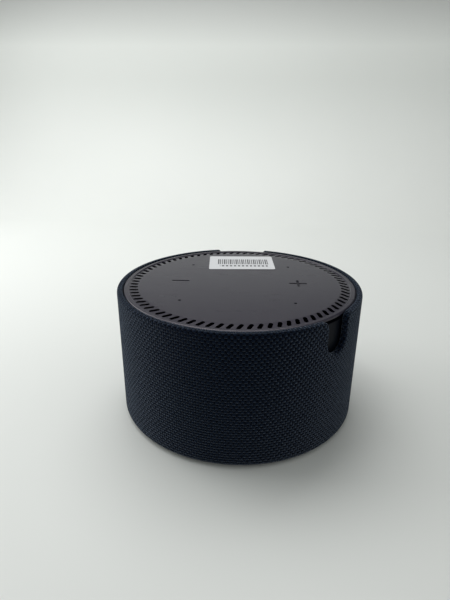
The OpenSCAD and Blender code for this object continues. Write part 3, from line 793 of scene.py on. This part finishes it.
# ---------------------------------------------------------------------------------------------
# Upper shell and ports. The shell's smooth satin wall shows in the finger notch; at the back a
# panel set in its window holds the power socket, the audio jack and the mute button.
# ---------------------------------------------------------------------------------------------
paint(shell_plastic, "upper_shell")
panel_plastic = moulded("panel_plastic", (0.024, 0.024, 0.027), 0.45, grain=0.00003, pitch=3800)
paint(panel_plastic, "port_panel", "audio_jack")
paint(moulded("button_plastic", (0.55, 0.55, 0.57), 0.3, wear=0.05), "mute_button")

# ---------------------------------------------------------------------------------------------
# Lid plate. A flat disc of dark grey satin plastic with a ring of slanted slots through it, four
# pinholes over the microphones and two sunk touch marks. It is bonded to the upper shell.
# ---------------------------------------------------------------------------------------------
plate_low, plate_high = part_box("top_plate")
plate_r = plate_high[0]
plate_z = plate_high[2]
plate_under_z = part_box("upper_shell")[1][2]
slot_count = 80
slot_inset = 0.0041
slot_mid_r = plate_r - slot_inset
slot_half = 0.00115
slot_r = 0.00075
slot_slant = -28
pin_ring = 0.0308
pin_r = 0.0006
mark_x = 0.0245
mark_half = 0.00375
mark_r = 0.0005
mark_depth = 0.00035
soft = 0.00007
slot_fall = 0.00035
slot_reach = slot_half * math.cos(math.radians(slot_slant)) + slot_r
fall_in_r = slot_mid_r - slot_reach - 0.0003
fall_out_r = slot_mid_r + slot_reach + 0.0002
fall_end_r = fall_out_r + 0.0003


def circle(r, steps):
    """A circle about the origin."""
    return arc(0, 0, r, 0, 360, steps)[:-1]


def stadium(half, r):
    """Outline of a bar with round ends, along X."""
    return arc(half, 0, r, -90, 90, 7) + arc(-half, 0, r, 90, 270, 7)


def placed(outline, x, y, turn=0.0):
    c, s = math.cos(math.radians(turn)), math.sin(math.radians(turn))
    return [(x + px * c - py * s, y + px * s + py * c) for px, py in outline]


def plus_mark(half, r):
    """Outline of two crossed bars with round ends."""
    points = []
    for turn in (0, 90, 180, 270):
        points += placed([*arc(half, 0, r, -90, 90, 7), (r, r)], 0, 0, turn)
    return points


def grown(extra):
    """Outlines of every opening in the plate, all wider by a small amount, with their depths."""
    found = []
    for i in range(slot_count):
        angle = (i + 0.5) * 360 / slot_count
        x, y = ring_places(slot_mid_r, [angle])[0]
        found.append((placed(stadium(slot_half, slot_r + extra), x, y, angle + slot_slant), None))
    for x, y in ring_places(pin_ring, diagonals):
        found.append((placed(circle(pin_r + extra, 16), x, y), None))
    found.append((placed(stadium(mark_half - mark_r, mark_r + extra), -mark_x, 0), mark_depth))
    found.append((placed(plus_mark(mark_half - mark_r, mark_r + extra), mark_x, 0), mark_depth))
    return found


plate_points, plate_faces = [], []


def add_plate(points, faces):
    start = len(plate_points)
    plate_points.extend(points)
    plate_faces.extend([tuple(start + i for i in face) for face in faces])


def wall(loops):
    """Quads between closed loops of the same length."""
    count = len(loops[0])
    faces = [
        (a * count + i, a * count + (i + 1) % count, (a + 1) * count + (i + 1) % count, (a + 1) * count + i)
        for a in range(len(loops) - 1) for i in range(count)]
    add_plate([p for loop in loops for p in loop], faces)


def at_height(outline, z):
    return [(x, y, z) for x, y in outline]


def on_plate(outline, down=0.0):
    """Points at a depth below the plate's top, which falls away outwards across the slots."""
    heights = np.interp([math.hypot(x, y) for x, y in outline],
        (fall_in_r, fall_out_r, fall_end_r), (plate_z, plate_z - slot_fall, plate_z))
    return [(x, y, z - down) for (x, y), z in zip(outline, heights)]


edge_r = 0.0007
rim_steps = 240
edge_arc = arc(plate_r - edge_r, plate_z - edge_r, edge_r, 90, 0, 5) + [(plate_r, plate_under_z)]
wall([at_height(circle(r, rim_steps), z) for r, z in edge_arc])
bevel_turns = [math.radians(a) for a in (0, 30, 60, 90)]
bevel = [(soft * (1 - math.sin(a)), soft * (1 - math.cos(a))) for a in bevel_turns]
openings = [grown(extra) for extra, down in bevel]
top_holes = [outline for outline, depth in openings[0]]
fall_rings = [circle(r, rim_steps) for r in (fall_in_r, fall_out_r, fall_end_r)]
flat_top, top_faces = fill(
    circle(plate_r - edge_r, rim_steps), top_holes, fall_rings, grid=0.004, margin=0.0012)
add_plate(on_plate(flat_top), top_faces)
through = [outline for outline, depth in openings[-1] if depth is None]
flat_low, low_faces = fill(circle(plate_r, rim_steps), through, grid=0.004, margin=0.0012)
add_plate(at_height(flat_low, plate_under_z), low_faces)
for k, (outline, depth) in enumerate(openings[-1]):
    loops = [on_plate(openings[i][k][0], bevel[i][1]) for i in range(len(bevel))]
    end_z = plate_under_z if depth is None else plate_z - depth
    wall(loops + [at_height(outline, end_z)])
    if depth is not None:
        mark_points, mark_faces = fill(outline)
        add_plate(at_height(mark_points, end_z), mark_faces)


def lid_plastic():
    """Dark grey satin plastic, very finely grained, with rub marks and dust; painted shade inside its
    slots, pinholes and marks and on all of it more than half a millimetre below the top.
    """
    finish = Finish("lid_plastic")
    place = finish.place()
    x, y, z = [finish.axis(place, i) for i in range(3)]
    radius = (x * x + y * y) ** 0.5
    fall = ((radius - fall_in_r) / (fall_out_r - fall_in_r)).max(0.0).min(1.0)
    depth = plate_z - slot_fall * fall - z
    # Painted shade: below the top face the plastic turns near black, fully from the slot ring outwards and
    # at half strength nearer the middle (pinholes, marks, underside).
    painted_shade_below_top = ((depth > 0.000015) * (radius < fall_out_r)).max(depth > 0.0005)
    cloud = finish.noise(24, 4)
    grain = finish.noise(7000, 2)
    speck = finish.noise(1900, 1)
    rubbed = finish.node("ShaderNodeMapping", None, {
        "Vector": place, "Rotation": (0, 0, 0.5), "Scale": (1, 5, 1)})
    smear = finish.noise(60, 5, rubbed)
    tone = finish.blend(cloud, (0.0135, 0.012, 0.0225, 1), (0.0175, 0.0155, 0.028, 1))
    dust = (speck - 0.74).max(0.0) * 5
    worn = finish.blend(dust.min(1.0), tone, (0.16, 0.16, 0.17, 1))
    finish.set({
        "Base Color": worn,
        "Roughness": 0.29 + 0.08 * (smear - 0.5) + 0.05 * (grain - 0.5),
        "Normal": finish.bump(grain, 0.000012, 0.6),
        "Specular IOR Level": 0.5,
        "Specular Tint": (1.0, 0.94, 1.0, 1),
    })
    in_ring = radius > fall_in_r - 0.001
    # The painted shade itself: a near black matte shader laid over the plastic below the top face.
    painted_shade_bsdf = finish.node("ShaderNodeBsdfPrincipled", None, {
        "Base Color": (0.0008, 0.001, 0.002, 1), "Roughness": 0.95, "Specular IOR Level": 0.0})
    finish.cover(painted_shade_below_top * (0.5 + 0.5 * in_ring), painted_shade_bsdf)
    return finish.material


plate_material = lid_plastic()
plate = mesh_object("lid_plate", plate_points, plate_faces, plate_material)
outward(plate)
sharpen(plate, 50)
for face in plate.data.polygons:
    if len(face.vertices) == 3:
        face.use_smooth = False

# The plate's screw bosses, under it
board_head_r = 0.0016
board_boss_r = 0.0016
touch_boss_r = 0.002
boss_hole_r = 0.0008
boss_steps = 24
board_ring = (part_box("main_board_screws")[1][0] - board_head_r) * math.sqrt(2)
touch_turn = 20
touch_ring = (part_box("touch_board_screws")[1][0] - board_head_r) / math.cos(math.radians(touch_turn))
touch_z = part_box("touch_board")[1][2]
boss_outlines = [(x, y, board_boss_r, plate_low[2]) for x, y in ring_places(board_ring, diagonals)]
touch_places = ring_places(touch_ring, (touch_turn, 180 - touch_turn, 180 + touch_turn, 360 - touch_turn))
boss_outlines += [(x, y, touch_boss_r, touch_z) for x, y in touch_places]
boss_points, boss_faces = [], []
for x, y, r, low_z in boss_outlines:
    start = len(boss_points)
    for radius, z in ((r, plate_under_z), (r, low_z), (boss_hole_r, low_z), (boss_hole_r, plate_under_z)):
        boss_points += at_height(placed(circle(radius, boss_steps), x, y), z)
    for a in range(4):
        here, there = start + a * boss_steps, start + (a + 1) % 4 * boss_steps
        for i in range(boss_steps):
            k = (i + 1) % boss_steps
            boss_faces.append((here + i, here + k, there + k, there + i))
bosses = mesh_object("lid_bosses", boss_points, boss_faces, plate_material)
outward(bosses)
sharpen(bosses)
ride(plate, "speaker_unit", "lid_plastic", "top_plate")
ride(bosses, "speaker_unit", "lid_plastic")


def fine_mesh():
    """Black acoustic cloth bonded under the slots."""
    finish = Finish("fine_mesh")
    net = squares(finish, 0.00015)
    finish.set({
        "Base Color": finish.blend(0.5 + 0.5 * net, (0.002, 0.002, 0.003, 1), (0.008, 0.008, 0.01, 1)),
        "Roughness": 0.9 + 0.05 * net,
        "Specular IOR Level": 0.15,
        "Normal": finish.bump(net, 0.00003, 0.5),
    })
    return finish.material


paint(fine_mesh(), "slot_mesh")

# ---------------------------------------------------------------------------------------------
# Sticker. A white coated-paper sticker set down slightly askew at the back of the lid, printed
# with evenly ruled bars over a row of plain dashes. One corner has lifted a little.
# ---------------------------------------------------------------------------------------------
sticker_low, sticker_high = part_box("sticker_label")
sticker_l, sticker_w = 0.030, 0.020
sticker_turn = 3.5
sticker_at = ((sticker_low[0] + sticker_high[0]) / 2, (sticker_low[1] + sticker_high[1]) / 2)
sticker_t = sticker_high[2] - sticker_low[2]
corner_r = 0.001
curl = 0.0006
ripple_h = 0.00003


def printed_paper():
    """Coated paper with a black print of ruled bars and dashes, read from the sticker's own map."""
    finish = Finish("printed_paper")
    uv = finish.node("ShaderNodeUVMap", {"uv_map": "print"})
    x = finish.axis(uv, 0) * 1000
    y = finish.axis(uv, 1) * 1000
    ink = finish.noise(3800, 3)

    def between(value, low, high):
        return (value > low) * (value < high)

    # All in millimetres from the middle of the sticker
    bar_pitch = 0.92
    even = (x % bar_pitch) < 0.42 + 0.05 * (ink - 0.5)
    broad = (x % (3 * bar_pitch)) < 0.62
    bars = even.max(broad) * between(x, -11.04, 12.88) * between(y, -2.6, 5.0)
    dashes = ((x % (2 * bar_pitch)) < 1.1) * between(x, -10.12, 11.96) * between(y, -5.9, -4.1)
    printed = bars.max(dashes) * (0.86 + 0.12 * ink)
    paper = finish.noise(1400, 5, rough=0.7)
    sheet = finish.blend(paper, (0.56, 0.57, 0.59, 1), (0.64, 0.65, 0.66, 1))
    finish.set({
        "Base Color": finish.blend(printed, sheet, (0.03, 0.03, 0.035, 1)),
        "Roughness": 0.42 + 0.12 * paper + 0.1 * printed,
        "Normal": finish.bump(paper, 0.00001, 0.5),
    })
    return finish.material


def lift(x, y):
    """Height of the sticker's curl, most at its front right corner."""
    away = max(0.0, (x / sticker_l + 0.5) - (y / sticker_w + 0.5) - 0.55)
    ripple = math.sin(x * 420) * math.cos(y * 310) ** 2
    return curl * away ** 2 + ripple_h * ripple


rounded = []
for corner_x, corner_y, turn in ((1, 1, 0), (-1, 1, 90), (-1, -1, 180), (1, -1, 270)):
    x = corner_x * (sticker_l / 2 - corner_r)
    y = corner_y * (sticker_w / 2 - corner_r)
    rounded += arc(x, y, corner_r, turn, turn + 90, 6)
sheet_points, sheet_faces = fill(rounded, grid=0.001, margin=0.0004)
count = len(sheet_points)
on_lid = placed(sheet_points, *sticker_at, sticker_turn)
heights = [plate_z + max(0.0, lift(x, y)) for x, y in sheet_points]
points = [(x, y, z + low) for low in (sticker_t * 0.55, 0.00001) for (x, y), z in zip(on_lid, heights)]
faces = [tuple(f) for f in sheet_faces]
faces += [tuple(count + i for i in reversed(f)) for f in sheet_faces]
ring = [min(range(count), key=lambda i, p=p: math.dist(sheet_points[i], p)) for p in rounded]
ring = [a for a, b in zip(ring, ring[1:] + ring[:1]) if a != b]
faces += [(a, b, count + b, count + a) for a, b in zip(ring, ring[1:] + ring[:1])]
sticker = mesh_object("sticker_printed", points, faces, printed_paper())
print_map = sticker.data.uv_layers.new(name="print")
for corner in sticker.data.loops:
    print_map.data[corner.index].uv = sheet_points[corner.vertex_index % count]
outward(sticker)
sharpen(sticker, 50)
ride(sticker, "speaker_unit", "sticker", "sticker_label")

# ---------------------------------------------------------------------------------------------
# Setting. A pale floor that sweeps up behind, with painted shade darkening it with height, under one large
# soft light above and behind and a smaller one low at the left, with an even grey sky as fill.
# ---------------------------------------------------------------------------------------------
floor_z = -0.00005
floor_reach = 1.2
sweep_start = 0.34
sweep_r = 0.16
wall_top = 0.9
painted_shade_from = 0.2
floor_outline = [(-floor_reach, floor_z), (sweep_start, floor_z)]
floor_outline += arc(sweep_start, sweep_r + floor_z, sweep_r, -90, 0, 12)
floor_outline += [(sweep_start + sweep_r, wall_top)]
floor_points = [(x, y, z) for y, z in floor_outline for x in (-floor_reach, floor_reach)]
floor_faces = [(2 * i, 2 * i + 1, 2 * i + 3, 2 * i + 2) for i in range(len(floor_outline) - 1)]
floor_finish = Finish("floor_card")
floor_tone = floor_finish.noise(6, 4)
floor_height = floor_finish.axis(floor_finish.place(), 2)
# Painted shade: above 0.2 m the backdrop is painted darker with height, down to a deep grey.
backdrop_painted_shade = ((floor_height - painted_shade_from) * 8.0).max(0.0).min(1.0)
floor_card = floor_finish.blend(floor_tone, (0.68, 0.7, 0.675, 1), (0.715, 0.735, 0.71, 1))
floor_finish.set({
    "Base Color": floor_finish.blend(backdrop_painted_shade, floor_card, (0.08, 0.08, 0.085, 1)),
    "Roughness": 0.6,
})
floor = mesh_object("floor", floor_points, floor_faces, floor_finish.material)

world = bpy.data.worlds.new("studio")
bpy.context.scene.world = world
world.use_nodes = True
sky = world.node_tree.nodes["Background"]
sky.inputs["Color"].default_value = (0.93, 0.95, 0.94, 1)
sky.inputs["Strength"].default_value = 0.5


def soft_light(name, size, power, place, aim):
    """A rectangular lamp at a place, aimed at a point."""
    light = bpy.data.lights.new(name, "AREA")
    light.shape = "RECTANGLE"
    light.size, light.size_y = size
    light.energy = power
    lamp = bpy.data.objects.new(name, light)
    lamp.location = place
    lamp.rotation_euler = (Vector(aim) - Vector(place)).to_track_quat("-Z", "Y").to_euler()
    bpy.context.scene.collection.objects.link(lamp)


soft_light("roof_light", (0.6, 0.45), 2.6, (-0.1, 0.26, 0.6), (-0.04, 0.2, 0))
soft_light("side_light", (0.35, 0.25), 0.85, (-0.4, 0.14, 0.26), (-0.08, 0.1, 0))

camera_data = bpy.data.cameras.new("camera")
camera = bpy.data.objects.new("camera", camera_data)
bpy.context.scene.collection.objects.link(camera)
bpy.context.scene.camera = camera
camera_data.lens = 27.9
camera_data.clip_start = 0.01
view_turn = math.radians(1.4)
view_yaw = math.radians(-1.82)
view_pitch = math.radians(22.055)
view_roll = math.radians(0.4)
view_distance, view_height = 0.1832, 0.1201
camera.location = (
    view_distance * math.sin(view_turn), -view_distance * math.cos(view_turn), view_height)
heading = view_yaw - view_turn
ahead = math.cos(view_pitch)
forward = Vector((math.sin(heading) * ahead, math.cos(heading) * ahead, -math.sin(view_pitch)))
level = Vector((math.cos(heading), -math.sin(heading), 0))
upright = level.cross(forward)
right = level * math.cos(view_roll) + upright * math.sin(view_roll)
top = upright * math.cos(view_roll) - level * math.sin(view_roll)
camera.rotation_euler = Matrix((right, top, -forward)).transposed().to_euler()
bpy.context.scene.view_settings.view_transform = "Standard"
